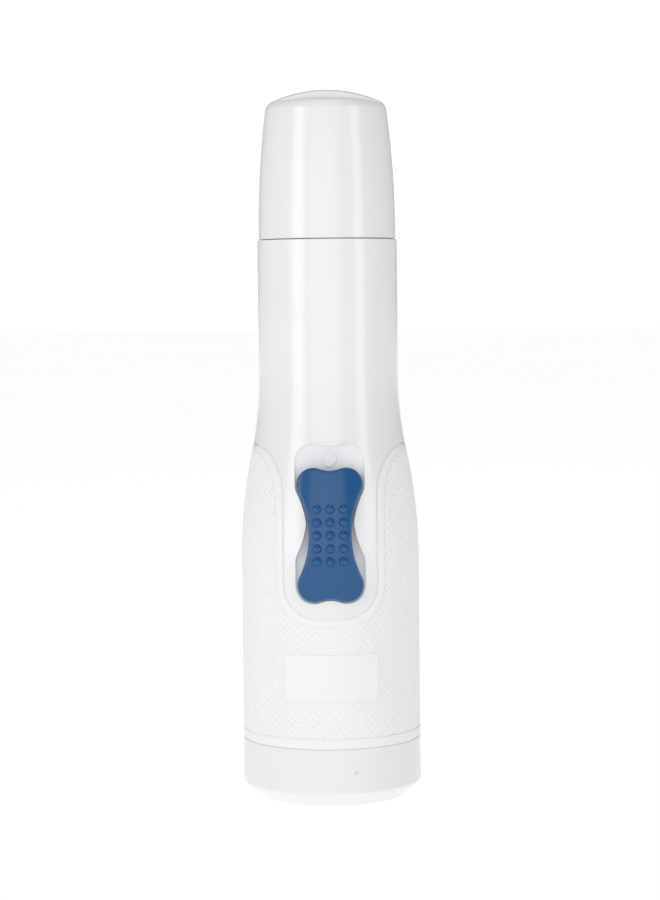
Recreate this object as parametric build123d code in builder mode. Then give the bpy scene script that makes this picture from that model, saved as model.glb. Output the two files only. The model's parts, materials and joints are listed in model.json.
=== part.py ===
"""Cordless pet-nail grinder, in millimetres.

+Z runs up the tool's axis, from the base it stands on to the top of the guard. The thumb
switch faces -Y and the guard's nail window faces +Y. The origin is the centre of the base.
Each sub-part is one solid, or one group of like solids, written to parts/NAME.step.
"""

from build123d import *

import os
from math import atan, cos, hypot, radians, sin, sqrt, tan

# ---------------------------------------------------------------- driving dimensions

TOTAL_HEIGHT = 190.0
GRIP_RADIUS = 24.0
NECK_RADIUS = 18.75
FLARE_BOTTOM = 64.5  # the grip is a cylinder below this height
FLARE_TOP = 114.0  # the neck is a cylinder above this height
CONCAVE_RADIUS = 100.0  # the flare's upper arc, seen from the side

BASE_TOP = 15.8  # top edge of the twist-off base cap
BODY_BOTTOM = 16.0  # lower edge of the housing and the grip sleeve
GRIP_TOP = 95.6  # where the grip ends and the full-width neck begins
NECK_TOP = 150.0
GUARD_BOTTOM = 150.2

SLEEVE_WALL = 1.5
SLEEVE_GAP = 0.1  # between the sleeve and the shells under it
SHELL_WALL = 1.9
SEAM = 0.3  # width of the line between the sleeve and the tongue
NECK_BORE = 16.75

SWITCH_TRAVEL = 6.0
BUTTON_PROUD = 1.2  # the button's top above the body's skin

CELL_RADIUS = 13.1
CELL_LENGTH = 50.0
LOWER_CELL = 7.5  # underside of the lower cell
TUBE_BORE = 13.6
TUBE_RADIUS = 14.8
STRIP = 0.4  # thickness of the copper strips on the battery tube

MOTOR_RADIUS = 12.1
MOTOR_BOTTOM = 112.0
MOTOR_TOP = 140.6
SHAFT_RADIUS = 1.0
RUNNING = 0.03  # radial clearance of the shaft in its bushes

DRUM_RADIUS = 10.0
DRUM_BOTTOM = 156.5
DRUM_TOP = 171.5

THREAD_LEAD = 12.0  # the base cap drops this far in one turn
THREAD_STARTS = 3

# The flare is two tangent arcs, so its steepest slope follows from its width and its height.
FLARE_HEIGHT = FLARE_TOP - FLARE_BOTTOM
FLARE_SLOPE = 2 * atan((GRIP_RADIUS - NECK_RADIUS) / FLARE_HEIGHT)
CONVEX_RADIUS = FLARE_HEIGHT / sin(FLARE_SLOPE) - CONCAVE_RADIUS
FLARE_TURN = FLARE_TOP - CONCAVE_RADIUS * sin(FLARE_SLOPE)  # height where the arcs meet

CORE_INSET = SLEEVE_WALL + SLEEVE_GAP  # skin to the shells' outside, under the sleeve
BORE_INSET = CORE_INSET + SHELL_WALL  # skin to the shells' inside
FRONT = (0, -1, 0)
REAR = (0, 1, 0)
FAR = 40.0  # reaches past every surface of the tool

os.makedirs("parts", exist_ok=True)


def save(builder, name):
    """Labels a finished sub-part and writes it as its own STEP file."""
    builder.part.label = name
    export_step(builder.part, f"parts/{name}.step")


def skin_radius(z, inset=0.0):
    """Radius of the body's skin at a height, moved inwards by inset."""
    if z >= FLARE_TOP:
        radius = NECK_RADIUS
    elif z >= FLARE_TURN:
        radius = NECK_RADIUS + CONCAVE_RADIUS - sqrt(CONCAVE_RADIUS**2 - (FLARE_TOP - z) ** 2)
    elif z >= FLARE_BOTTOM:
        radius = GRIP_RADIUS - CONVEX_RADIUS + sqrt(CONVEX_RADIUS**2 - (z - FLARE_BOTTOM) ** 2)
    else:
        radius = GRIP_RADIUS
    return radius - inset


def skin_turned(inset, low, high, mode=Mode.ADD):
    """Solid of revolution from the axis out to the inset skin, between two heights."""
    turns = [z for z in (FLARE_BOTTOM, FLARE_TURN, FLARE_TOP) if low < z < high]
    stops = [low, *turns, high]
    with BuildSketch(Plane.XZ) as section:
        with BuildLine():
            Line((0, low), (skin_radius(low, inset), low))
            for start, end in zip(stops, stops[1:]):
                middle = (start + end) / 2
                points = [(skin_radius(z, inset), z) for z in (start, middle, end)]
                if FLARE_BOTTOM < middle < FLARE_TOP:
                    ThreePointArc(*points)
                else:
                    Line(points[0], points[2])
            Line((skin_radius(high, inset), high), (0, high))
            Line((0, high), (0, low))
        make_face()
    revolve(section.sketch, Axis.Z, mode=mode)


def ring(inner, outer, low, high, mode=Mode.ADD):
    """Ring, or disc, about the tool's axis between two heights."""
    with BuildSketch(Plane.XY.offset(low)) as section:
        Circle(outer)
        if inner:
            Circle(inner, mode=Mode.SUBTRACT)
    extrude(section.sketch, high - low, mode=mode)


def rod(radius, start, way, length, mode=Mode.ADD):
    """Cylinder of a length, from a start point along a direction."""
    with BuildSketch(Plane(origin=start, z_dir=way)) as section:
        Circle(radius)
    extrude(section.sketch, length, mode=mode)


def block(low, high, mode=Mode.ADD):
    """Box between its lowest and its highest corner."""
    size = [end - start for start, end in zip(low, high)]
    centre = [(end + start) / 2 for start, end in zip(low, high)]
    with Locations(tuple(centre)):
        Box(*size, mode=mode)


# ---------------------------------------------------------------- the tongue's outline

TONGUE_HALF = 12.3
TONGUE_BOTTOM = 50.3
TONGUE_CORNER = 9.0
SWEEP_WIDTH = 8.0  # half axes of the elliptical sweep out to the sides
SWEEP_HEIGHT = 13.0


def tongue_prism(grow, mode):
    """Front half-space prism of the tongue and the neck above it, grown all round."""
    half = TONGUE_HALF + grow
    bottom = TONGUE_BOTTOM - grow
    corner = TONGUE_CORNER + grow
    wide = SWEEP_WIDTH - grow
    top = GRIP_TOP - grow
    low_corner = (half - corner + corner * sin(radians(45)), bottom + corner - corner * cos(radians(45)))
    with BuildSketch(Plane.XZ) as outline:
        with BuildLine():
            Line((0, bottom), (half - corner, bottom))
            ThreePointArc((half - corner, bottom), low_corner, (half, bottom + corner))
            Line((half, bottom + corner), (half, top - SWEEP_HEIGHT))
            EllipticalCenterArc((half + wide, top - SWEEP_HEIGHT), wide, SWEEP_HEIGHT, 90, arc_size=90)
            Line((half + wide, top), (FAR, top))
            Line((FAR, top), (FAR, NECK_TOP))
            Line((FAR, NECK_TOP), (0, NECK_TOP))
            mirror(about=Plane.YZ)
        make_face()
    extrude(outline.sketch, FAR, mode=mode)


# ---------------------------------------------------------------- the switch's plane and outlines

BONE_CENTRE = 72.5  # height of the button's middle at rest
LOBE_RADIUS = 4.4
LOBE_X = 4.3
LOBE_Y = 13.2
WAIST_HALF = 5.6
BONE_DIP = 0.8  # how far the bone's end dips between its lobes
BONE_HALF = LOBE_Y + LOBE_RADIUS

RECESS_GAP = 0.5
RECESS_FLOOR = -1.8  # local height of the recess floor in the switch's plane
FLOOR_THICKNESS = 1.5
BUTTON_BOTTOM = RECESS_FLOOR + 0.3
PLATE_TOP = RECESS_FLOOR - FLOOR_THICKNESS - 0.1
PLATE_THICKNESS = 1.2
PLATE_WIDTH = 9.0
PLATE_LENGTH = 26.0
SHANK_HALF = 2.5
SHANK_LENGTH = 8.0
PLATE_BOTTOM = PLATE_TOP - PLATE_THICKNESS
LEAF = 0.3  # thickness of the switch's copper bridge

recess_low = BONE_CENTRE - BONE_HALF - RECESS_GAP
recess_high = BONE_CENTRE + BONE_HALF + SWITCH_TRAVEL + RECESS_GAP
SLIDE_TILT = atan((skin_radius(recess_low) - skin_radius(recess_high)) / (recess_high - recess_low))
chord_y = skin_radius(recess_low) - (BONE_CENTRE - recess_low) * tan(SLIDE_TILT)
slide_way = (0, sin(SLIDE_TILT), cos(SLIDE_TILT))
outward = (0, -cos(SLIDE_TILT), sin(SLIDE_TILT))

# Local X is the tool's X, local Y runs up the slide, and local Z points out of the body.
SWITCH = Plane(origin=(0, -chord_y, BONE_CENTRE), x_dir=(1, 0, 0), z_dir=outward)
# Side view of the switch: local X runs up the slide, local Y points out of the body.
SWITCH_SIDE = Plane(origin=(0, -chord_y, BONE_CENTRE), x_dir=slide_way, z_dir=(1, 0, 0))


def arc_middle(centre, start, end):
    """Middle point of the shorter arc between two points, about a centre."""
    x = (start[0] + end[0]) / 2 - centre[0]
    y = (start[1] + end[1]) / 2 - centre[1]
    scale = hypot(start[0] - centre[0], start[1] - centre[1]) / hypot(x, y)
    return (centre[0] + x * scale, centre[1] + y * scale)


def draw_bone(grow, up=0.0):
    """Dog bone in the current sketch: four round lobes joined by tangent hollow arcs."""
    lobe = LOBE_RADIUS + grow
    dip = BONE_HALF - BONE_DIP + grow
    dip_radius = (LOBE_X**2 + (dip - LOBE_Y) ** 2 - lobe**2) / (2 * (lobe - dip + LOBE_Y))
    waist = WAIST_HALF + grow
    waist_radius = ((waist - LOBE_X) ** 2 + LOBE_Y**2 - lobe**2) / (2 * (lobe - waist + LOBE_X))
    end_centre = (0, dip + dip_radius)
    side_centre = (waist + waist_radius, 0)

    def tangent_point(centre):
        """Where the lobe meets the hollow arc that is drawn about a centre."""
        reach = lobe / hypot(centre[0] - LOBE_X, centre[1] - LOBE_Y)
        return (LOBE_X + (centre[0] - LOBE_X) * reach, LOBE_Y + (centre[1] - LOBE_Y) * reach)

    end = tangent_point(end_centre)
    side = tangent_point(side_centre)
    crest = (LOBE_X + lobe * sin(radians(60)), LOBE_Y + lobe * cos(radians(60)))
    with BuildLine(Plane.XY) as outline:
        ThreePointArc((0, dip), arc_middle(end_centre, (0, dip), end), end)
        ThreePointArc(end, crest, side)
        ThreePointArc(side, arc_middle(side_centre, side, (waist, 0)), (waist, 0))
        mirror(about=Plane.XZ)
        mirror(about=Plane.YZ)
    make_face([edge.moved(Location((0, up, 0))) for edge in outline.edges()])


def bone_prism(level, height, mode=Mode.ADD):
    """Prism of the button's outline, from a local height outwards."""
    with BuildSketch(SWITCH.offset(level)) as outline:
        draw_bone(0)
    extrude(outline.sketch, height, mode=mode)


def recess_prism(grow, level, height, mode=Mode.ADD):
    """Prism of the room that the grown bone sweeps over its travel."""
    with BuildSketch(SWITCH.offset(level)) as outline:
        draw_bone(grow)
        draw_bone(grow, SWITCH_TRAVEL)
        for lobe_y in (-LOBE_Y, LOBE_Y):
            with Locations((0, lobe_y + SWITCH_TRAVEL / 2)):
                Rectangle(2 * (LOBE_X + LOBE_RADIUS + grow), SWITCH_TRAVEL)
    extrude(outline.sketch, height, mode=mode)


def switch_block(half_width, low, high, bottom, top, mode=Mode.ADD):
    """Box in the switch's plane: across, up the slide, and out of the body."""
    with BuildSketch(SWITCH.offset(bottom)) as outline:
        with Locations((0, (low + high) / 2)):
            Rectangle(2 * half_width, high - low)
    extrude(outline.sketch, top - bottom, mode=mode)


# ---------------------------------------------------------------- fasteners

SCREW_RADIUS = 1.1
HEAD_RADIUS = 1.9
HEAD_HEIGHT = 1.5
BOSS_RADIUS = 2.7
GRIP_SCREWS = [(x, z) for x in (-17.7, 17.7) for z in (30.2, 75.0)]
GRIP_SEAT = 8.4  # how far behind the split the screw heads sit
NECK_SCREWS = [(-9.5, 145.0), (9.5, 145.0)]
NECK_SEAT = 12.6
SCREW_REACH = 7.0  # thread in the front shell


def shell_screws(places, seat):
    """Pan-head screws with a cross recess, driven from the rear."""
    for x, z in places:
        rod(HEAD_RADIUS, (x, seat, z), REAR, HEAD_HEIGHT)
        rod(SCREW_RADIUS, (x, seat, z), FRONT, seat + SCREW_REACH)
        for width, height in ((2.2, 0.5), (0.5, 2.2)):
            block(
                (x - width / 2, seat + 0.7, z - height / 2),
                (x + width / 2, seat + HEAD_HEIGHT, z + height / 2),
                Mode.SUBTRACT,
            )


# ---------------------------------------------------------------- housing: front and rear shells

arc_depth = CONCAVE_RADIUS + NECK_RADIUS - NECK_BORE - BORE_INSET
BORE_TOP = FLARE_TOP - sqrt(CONCAVE_RADIUS**2 - arc_depth**2)  # where the inset skin reaches the neck's bore
COLLAR_BOTTOM = 17.1
COLLAR_TOP = 27.0
COLLAR_RADIUS = 20.4
LIP_BORE = 19.6
FLANGE_BOTTOM = 148.0
FLANGE_TOP = 149.2
FLANGE_RADIUS = 17.5
MOUTH_RADIUS = 16.3
DAMPER_LEVELS = (117.0, 134.0)
DAMPER_HEIGHT = 4.0

with BuildPart() as tongue:
    skin_turned(0, TONGUE_BOTTOM - 1, GRIP_TOP + 1)
    tongue_prism(0, Mode.INTERSECT)

with BuildPart() as bosses:
    for boss_x, boss_z in GRIP_SCREWS + NECK_SCREWS:
        rod(BOSS_RADIUS, (boss_x, -FAR, boss_z), REAR, 2 * FAR)
    skin_turned(CORE_INSET + 0.3, BODY_BOTTOM, NECK_TOP, Mode.INTERSECT)

with BuildPart() as switch_tray:
    recess_prism(RECESS_GAP + FLOOR_THICKNESS, RECESS_FLOOR - FLOOR_THICKNESS, FAR)
    skin_turned(0, TONGUE_BOTTOM, GRIP_TOP + 10, Mode.INTERSECT)

with BuildPart() as walls:
    skin_turned(CORE_INSET, BODY_BOTTOM, GRIP_TOP)
    skin_turned(0, GRIP_TOP, NECK_TOP)
    chamfer(edges().filter_by(GeomType.CIRCLE).group_by(Axis.Z)[-1], 0.2)


def hollow_out():
    """Cuts the bores that both halves share, then adds the ribs that locate what they hold."""
    skin_turned(BORE_INSET, BODY_BOTTOM, BORE_TOP, Mode.SUBTRACT)
    ring(0, NECK_BORE, BORE_TOP, FLANGE_TOP + 0.1, Mode.SUBTRACT)
    ring(0, FLANGE_RADIUS + 0.1, FLANGE_BOTTOM - 0.1, FLANGE_TOP + 0.1, Mode.SUBTRACT)
    ring(0, MOUTH_RADIUS, FLANGE_TOP, NECK_TOP, Mode.SUBTRACT)
    ring(LIP_BORE, COLLAR_RADIUS + 0.6, BODY_BOTTOM, COLLAR_BOTTOM - 0.1)
    ring(COLLAR_RADIUS - 2.9, COLLAR_RADIUS + 0.6, COLLAR_TOP + 0.2, COLLAR_TOP + 1.4)
    for level in DAMPER_LEVELS:
        ring(14.6, NECK_BORE + 0.3, level - 1.0, level - 0.2)
        ring(14.6, NECK_BORE + 0.3, level + DAMPER_HEIGHT + 0.2, level + DAMPER_HEIGHT + 1.0)
    for side in (-1, 1):
        with Locations((side * (TUBE_RADIUS + 1.5), 0, 97.4)):
            Box(2.6, 6.0, 1.2)
    add(bosses.part)


with BuildPart() as front_shell:
    add(walls.part)
    add(tongue.part)
    hollow_out()
    add(switch_tray.part)
    recess_prism(RECESS_GAP, RECESS_FLOOR, FAR, Mode.SUBTRACT)
    slot_low, slot_high = -SHANK_LENGTH / 2 - 0.3, SHANK_LENGTH / 2 + SWITCH_TRAVEL + 0.3
    switch_block(SHANK_HALF + 0.2, slot_low, slot_high, -6.0, 0, Mode.SUBTRACT)
    plate_low, plate_high = -PLATE_LENGTH / 2 - 0.4, PLATE_LENGTH / 2 + SWITCH_TRAVEL + 0.4
    floor_back = RECESS_FLOOR - FLOOR_THICKNESS
    switch_block(PLATE_WIDTH / 2 + 0.3, plate_low, plate_high, -8.0, floor_back, Mode.SUBTRACT)
    for screw_x, screw_z in GRIP_SCREWS + NECK_SCREWS:
        rod(SCREW_RADIUS, (screw_x, 0, screw_z), FRONT, SCREW_REACH + 1, Mode.SUBTRACT)
    split(bisect_by=Plane.XZ, keep=Keep.TOP)

with BuildPart() as rear_shell:
    add(walls.part)
    hollow_out()
    for places, seat in ((GRIP_SCREWS, GRIP_SEAT), (NECK_SCREWS, NECK_SEAT)):
        for screw_x, screw_z in places:
            rod(SCREW_RADIUS + 0.15, (screw_x, 0, screw_z), REAR, seat, Mode.SUBTRACT)
            rod(HEAD_RADIUS + 0.1, (screw_x, seat, screw_z), REAR, FAR, Mode.SUBTRACT)
    split(bisect_by=Plane.XZ, keep=Keep.BOTTOM)

with BuildPart() as housing_screws:
    shell_screws(GRIP_SCREWS, GRIP_SEAT)

with BuildPart() as neck_screws:
    shell_screws(NECK_SCREWS, NECK_SEAT)

# ---------------------------------------------------------------- grip sleeve

with BuildPart() as grip_sleeve:
    skin_turned(0, BODY_BOTTOM, GRIP_TOP - SEAM)
    chamfer(edges().filter_by(GeomType.CIRCLE).group_by(Axis.Z)[0], 0.15)
    skin_turned(SLEEVE_WALL, BODY_BOTTOM, GRIP_TOP, Mode.SUBTRACT)
    tongue_prism(SEAM, Mode.SUBTRACT)

# ---------------------------------------------------------------- thumb switch

DOT_PITCH = 3.43
DOT_RADIUS = 1.25
DOT_SINK = 0.35
BUTTON_ROUND = 0.6


def on_button(x, along):
    """Point a little under the button's top surface, from its place in the switch's plane."""
    z = BONE_CENTRE + along * cos(SLIDE_TILT)
    return (x, DOT_SINK - sqrt(skin_radius(z, -BUTTON_PROUD) ** 2 - x**2), z)


with BuildPart() as switch_button:
    bone_prism(BUTTON_BOTTOM, FAR)
    skin_turned(-BUTTON_PROUD, TONGUE_BOTTOM, GRIP_TOP, Mode.INTERSECT)
    top_rim = edges().filter_by(lambda edge: SWITCH.to_local_coords(edge.center()).Z > BUTTON_PROUD)
    fillet(top_rim, BUTTON_ROUND)
    switch_block(SHANK_HALF, -SHANK_LENGTH / 2, SHANK_LENGTH / 2, PLATE_TOP, BUTTON_BOTTOM)
    dots = [on_button(DOT_PITCH * column, DOT_PITCH * row) for column in (-1, 0, 1) for row in range(-2, 3)]
    with Locations(*dots):
        Sphere(DOT_RADIUS)
    rod(0.9, SWITCH.offset(PLATE_TOP).origin, outward, 3.2, Mode.SUBTRACT)

with BuildPart() as slider_plate:
    with BuildSketch(SWITCH.offset(PLATE_BOTTOM)):
        RectangleRounded(PLATE_WIDTH, PLATE_LENGTH, 1.0)
        Circle(1.0, mode=Mode.SUBTRACT)
    extrude(amount=PLATE_THICKNESS)

with BuildPart() as slider_screw:
    rod(1.7, SWITCH.offset(PLATE_BOTTOM - LEAF - 0.9).origin, outward, 0.9)
    rod(0.9, SWITCH.offset(PLATE_BOTTOM - LEAF).origin, outward, LEAF + PLATE_THICKNESS + 3.0)

BRIDGE_HALF = 4.5
BRIDGE_ARM = 2.0  # width of each wiper arm
ARM_DROP = 1.2  # how far the wipers reach in from the bridge

with BuildPart() as switch_bridge:
    switch_block(BRIDGE_HALF, -3.0, 3.2, PLATE_BOTTOM - LEAF, PLATE_BOTTOM)
    rod(1.0, SWITCH.offset(PLATE_BOTTOM - LEAF).origin, outward, LEAF, Mode.SUBTRACT)
    for inner_x in (-BRIDGE_HALF, BRIDGE_HALF - BRIDGE_ARM):
        with BuildSketch(SWITCH_SIDE.offset(inner_x)) as arm:
            with BuildLine():
                Polyline(
                    (3.0, PLATE_BOTTOM),
                    (7.0, PLATE_BOTTOM - ARM_DROP),
                    (10.0, PLATE_BOTTOM - ARM_DROP / 2),
                    (10.0, PLATE_BOTTOM - ARM_DROP / 2 - LEAF),
                    (7.0, PLATE_BOTTOM - ARM_DROP - LEAF),
                    (3.0, PLATE_BOTTOM - LEAF),
                    close=True,
                )
            make_face()
        extrude(arm.sketch, BRIDGE_ARM)

# ---------------------------------------------------------------- batteries and their tube

TUBE_TOP = 109.2
COLLAR_BORE = 18.6
CONTACT_LEVEL = LOWER_CELL + 2 * CELL_LENGTH  # top of the upper cell
STRIP_OUT = TUBE_RADIUS + STRIP
WIPER_OUT = BRIDGE_HALF
WIPER_IN = BRIDGE_HALF - BRIDGE_ARM
STRIP_LOW = 82.0  # the strips start above the wipers' place at rest
STRIP_HIGH = 103.0  # where the wires take over
NUB_HEIGHT = 1.4

LUG_LEVEL = 21.1
LUG_SPAN = 0.8  # climb of a lug along its helix
GROOVE_LEVEL = 16.0


def thread_run(low, climb, inner, outer, width, mode):
    """Three helical ribs on the cap's thread, as one sweep copied round the axis."""
    middle = (inner + outer) / 2
    path = Helix(THREAD_LEAD, climb, middle, center=(0, 0, low), mode=Mode.PRIVATE)
    with BuildSketch(Plane(origin=path @ 0, x_dir=(1, 0, 0), z_dir=path % 0)) as section:
        Rectangle(outer - inner, width)
    run = sweep(section.sketch, path, is_frenet=True, mode=Mode.PRIVATE)
    start = 360 * (low - LUG_LEVEL) / THREAD_LEAD
    for turn in range(THREAD_STARTS):
        add(run.rotate(Axis.Z, start + 360 * turn / THREAD_STARTS), mode=mode)


def cell(low):
    """Round dry cell with its positive nub on top."""
    top = low + CELL_LENGTH - NUB_HEIGHT
    ring(0, CELL_RADIUS, low, top)
    chamfer(edges().filter_by(GeomType.CIRCLE), 0.5)
    ring(8.6, 11.6, top - 0.4, top, Mode.SUBTRACT)
    ring(0, 3.6, top, low + CELL_LENGTH)


with BuildPart() as battery_lower:
    cell(LOWER_CELL)

with BuildPart() as battery_upper:
    cell(LOWER_CELL + CELL_LENGTH)

with BuildPart() as battery_tube:
    ring(TUBE_BORE, TUBE_RADIUS, BODY_BOTTOM, TUBE_TOP)
    ring(0, TUBE_RADIUS, CONTACT_LEVEL + 0.5, TUBE_TOP)
    ring(COLLAR_BORE, COLLAR_RADIUS, COLLAR_BOTTOM, COLLAR_TOP)
    ring(TUBE_RADIUS - 0.5, COLLAR_RADIUS, COLLAR_TOP - 2.0, COLLAR_TOP)
    climb = LUG_LEVEL + LUG_SPAN + 0.4 - GROOVE_LEVEL
    thread_run(GROOVE_LEVEL, climb, COLLAR_BORE - 0.4, COLLAR_BORE + 0.95, 2.3, Mode.SUBTRACT)
    block((-1.3, TUBE_RADIUS - 0.05, COLLAR_TOP - 3), (1.3, STRIP_OUT + 0.3, COLLAR_TOP), Mode.SUBTRACT)
    arm_slot = (-WIPER_OUT - 0.1, -FAR, CONTACT_LEVEL - 0.1), (-WIPER_IN + 0.1, -10, CONTACT_LEVEL + 0.5)
    block(*arm_slot, Mode.SUBTRACT)

with BuildPart() as positive_contact:
    ring(0, 7.0, CONTACT_LEVEL, CONTACT_LEVEL + STRIP)
    block((-WIPER_OUT, -FAR, CONTACT_LEVEL), (-WIPER_IN, 0, CONTACT_LEVEL + STRIP))
    ring(0, TUBE_RADIUS, CONTACT_LEVEL, CONTACT_LEVEL + STRIP, Mode.INTERSECT)

with BuildPart() as battery_strip:
    ring(TUBE_RADIUS, STRIP_OUT, STRIP_LOW, CONTACT_LEVEL + STRIP)
    block((-WIPER_OUT, -FAR, STRIP_LOW), (-WIPER_IN, 0, TUBE_TOP), Mode.INTERSECT)

with BuildPart() as motor_strip:
    ring(TUBE_RADIUS, STRIP_OUT, STRIP_LOW, STRIP_HIGH)
    block((WIPER_IN, -FAR, STRIP_LOW), (WIPER_OUT, 0, TUBE_TOP), Mode.INTERSECT)

with BuildPart() as ground_strip:
    ring(TUBE_RADIUS, STRIP_OUT, BODY_BOTTOM + 0.8, STRIP_HIGH)
    block((-1.0, 0, BODY_BOTTOM), (1.0, FAR, TUBE_TOP), Mode.INTERSECT)

# ---------------------------------------------------------------- base cap

BASE_CHAMFER_RISE = 3.95
BASE_FLAT_RADIUS = 19.7
BASE_WIDEST = 24.1
BASE_FLOOR = 2.2
SPIGOT_TOP = 24.4
SPIGOT_BORE = 16.8
SPIGOT_RADIUS = 18.4
LUG_RADIUS = 19.4
SEAL_BOTTOM = 14.1
DOT_TURN = radians(15.1)
DOT_HEIGHT = 9.75

with BuildPart() as base_cap:
    with BuildSketch(Plane.XZ):
        with BuildLine():
            Line((0, 0), (BASE_FLAT_RADIUS, 0))
            Line((BASE_FLAT_RADIUS, 0), (BASE_WIDEST, BASE_CHAMFER_RISE))
            Line((BASE_WIDEST, BASE_CHAMFER_RISE), (GRIP_RADIUS, BASE_TOP))
            Line((GRIP_RADIUS, BASE_TOP), (0, BASE_TOP))
            Line((0, BASE_TOP), (0, 0))
        make_face()
    revolve(axis=Axis.Z)
    outer_rims = edges().filter_by(GeomType.CIRCLE).sort_by(Axis.Z)
    fillet(outer_rims[0], 1.0)
    fillet(edges().filter_by(GeomType.CIRCLE).filter_by_position(Axis.Z, 3.5, 4.5), 1.0)
    chamfer(edges().filter_by(GeomType.CIRCLE).sort_by(Axis.Z)[-1], 0.15)
    ring(SPIGOT_BORE, SPIGOT_RADIUS, SEAL_BOTTOM, SPIGOT_TOP)
    ring(0, SPIGOT_BORE, BASE_FLOOR, SPIGOT_TOP, Mode.SUBTRACT)
    ring(SPIGOT_RADIUS, 20.5, SEAL_BOTTOM, BASE_TOP, Mode.SUBTRACT)
    ring(14.6, 15.4, 0, 0.4, Mode.SUBTRACT)
    thread_run(LUG_LEVEL, LUG_SPAN, SPIGOT_RADIUS - 0.5, LUG_RADIUS, 1.8, Mode.ADD)
    dot_way = (sin(DOT_TURN), -cos(DOT_TURN), 0)
    dot_start = (23.7 * dot_way[0], 23.7 * dot_way[1], DOT_HEIGHT)
    rod(0.65, dot_start, dot_way, 2.0, Mode.SUBTRACT)

with BuildPart() as base_seal:
    ring(SPIGOT_RADIUS + 0.1, 20.3, SEAL_BOTTOM + 0.1, BODY_BOTTOM - 0.1)

with BuildPart() as base_contact:
    ring(0, 12.0, BASE_FLOOR, BASE_FLOOR + STRIP)
    with PolarLocations(0, 3):
        with Locations((13.4, 0, BASE_FLOOR + STRIP / 2)):
            Box(4.8, 4.0, STRIP)
        with Locations((STRIP_OUT + 0.4, 0, (BASE_FLOOR + 22.0) / 2)):
            Box(STRIP, 4.0, 22.0 - BASE_FLOOR)

SPRING_WIRE = 0.5
spring_low = BASE_FLOOR + STRIP + SPRING_WIRE
spring_climb = LOWER_CELL - 0.15 - SPRING_WIRE - spring_low

with BuildPart() as negative_spring:
    start = (0, 0, spring_low)
    coil = Helix(spring_climb / 3, spring_climb, 8.0, center=start, cone_angle=-40, mode=Mode.PRIVATE)
    with BuildSketch(Plane(origin=coil @ 0, z_dir=coil % 0)) as wire:
        Circle(SPRING_WIRE)
    sweep(wire.sketch, coil, is_frenet=True)

# ---------------------------------------------------------------- motor

CAN_BOTTOM = 115.0
CAN_WALL = 0.8
CAN_BORE = MOTOR_RADIUS - CAN_WALL
BUSH_RADIUS = 2.4
BUSH_LENGTH = 2.2
BOSS_TOP = MOTOR_TOP + 1.6
STACK_LOW = 120.0
STACK_HIGH = 135.0
COIL_REACH = 1.4  # how far the coils stand out of the stack's ends
ARMATURE_RADIUS = 9.2
MAGNET_BORE = 9.7
POLE_ARM = 3.0
POLES = 3
SHOE_IN = 7.6
COMMUTATOR_RADIUS = 2.6
COMMUTATOR_LOW = 115.2
TERMINAL_Y = 8.0
TERMINAL_LOW = 109.9
BRUSH_IN = 2.75

with BuildPart() as motor_can:
    ring(0, MOTOR_RADIUS, CAN_BOTTOM, MOTOR_TOP)
    fillet(edges().filter_by(GeomType.CIRCLE).group_by(Axis.Z)[-1], 0.7)
    ring(0, CAN_BORE, CAN_BOTTOM, MOTOR_TOP - CAN_WALL, Mode.SUBTRACT)
    ring(0, BUSH_RADIUS + 0.8, MOTOR_TOP, BOSS_TOP)
    ring(0, BUSH_RADIUS, MOTOR_TOP - CAN_WALL, BOSS_TOP, Mode.SUBTRACT)

with BuildPart() as motor_end_bell:
    ring(BUSH_RADIUS, MOTOR_RADIUS, MOTOR_BOTTOM, CAN_BOTTOM)
    ring(CAN_BORE - 1.0, CAN_BORE - 0.05, CAN_BOTTOM, CAN_BOTTOM + 1.6)
    for post_x in (-4.9, 4.9):
        rod(0.9, (post_x, 6.0, CAN_BOTTOM), (0, 0, 1), 2.6)

with BuildPart() as front_bush:
    ring(SHAFT_RADIUS + RUNNING, BUSH_RADIUS, BOSS_TOP - BUSH_LENGTH, BOSS_TOP)

with BuildPart() as rear_bush:
    ring(SHAFT_RADIUS + RUNNING, BUSH_RADIUS, MOTOR_BOTTOM, MOTOR_BOTTOM + BUSH_LENGTH)

with BuildPart() as motor_magnets:
    ring(MAGNET_BORE, CAN_BORE, STACK_LOW - 1.5, STACK_HIGH + 1.5)
    block((-FAR, -4.5, MOTOR_BOTTOM), (FAR, 4.5, MOTOR_TOP), Mode.SUBTRACT)

with BuildPart() as motor_brushes:
    for side in (-1, 1):
        with Locations((side * (BRUSH_IN + 0.5), 0, 116.5)):
            Box(1.0, 2.2, 2.0)
        with Locations((side * (BRUSH_IN + 1.1), 2.4, 116.5)):
            Box(0.2, 7.0, 2.0)

with BuildPart() as motor_terminals:
    for side in (-1, 1):
        with Locations((-0.3, side * TERMINAL_Y, (TERMINAL_LOW + MOTOR_BOTTOM) / 2)):
            Box(9.8, STRIP, MOTOR_BOTTOM - TERMINAL_LOW)

with BuildPart() as suppressor_capacitor:
    rod(3.0, (-4.4, 0, 109.8), (0, 0, 1), 1.8)
    fillet(edges().filter_by(GeomType.CIRCLE), 0.5)
    rod(0.3, (-4.4, 0, 110.7), FRONT, TERMINAL_Y - STRIP / 2)
    rod(0.3, (-4.4, 0, 110.7), REAR, TERMINAL_Y - STRIP / 2)

with BuildPart() as motor_dampers:
    for damper_low in DAMPER_LEVELS:
        ring(MOTOR_RADIUS, NECK_BORE - 0.05, damper_low, damper_low + DAMPER_HEIGHT)

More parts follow.
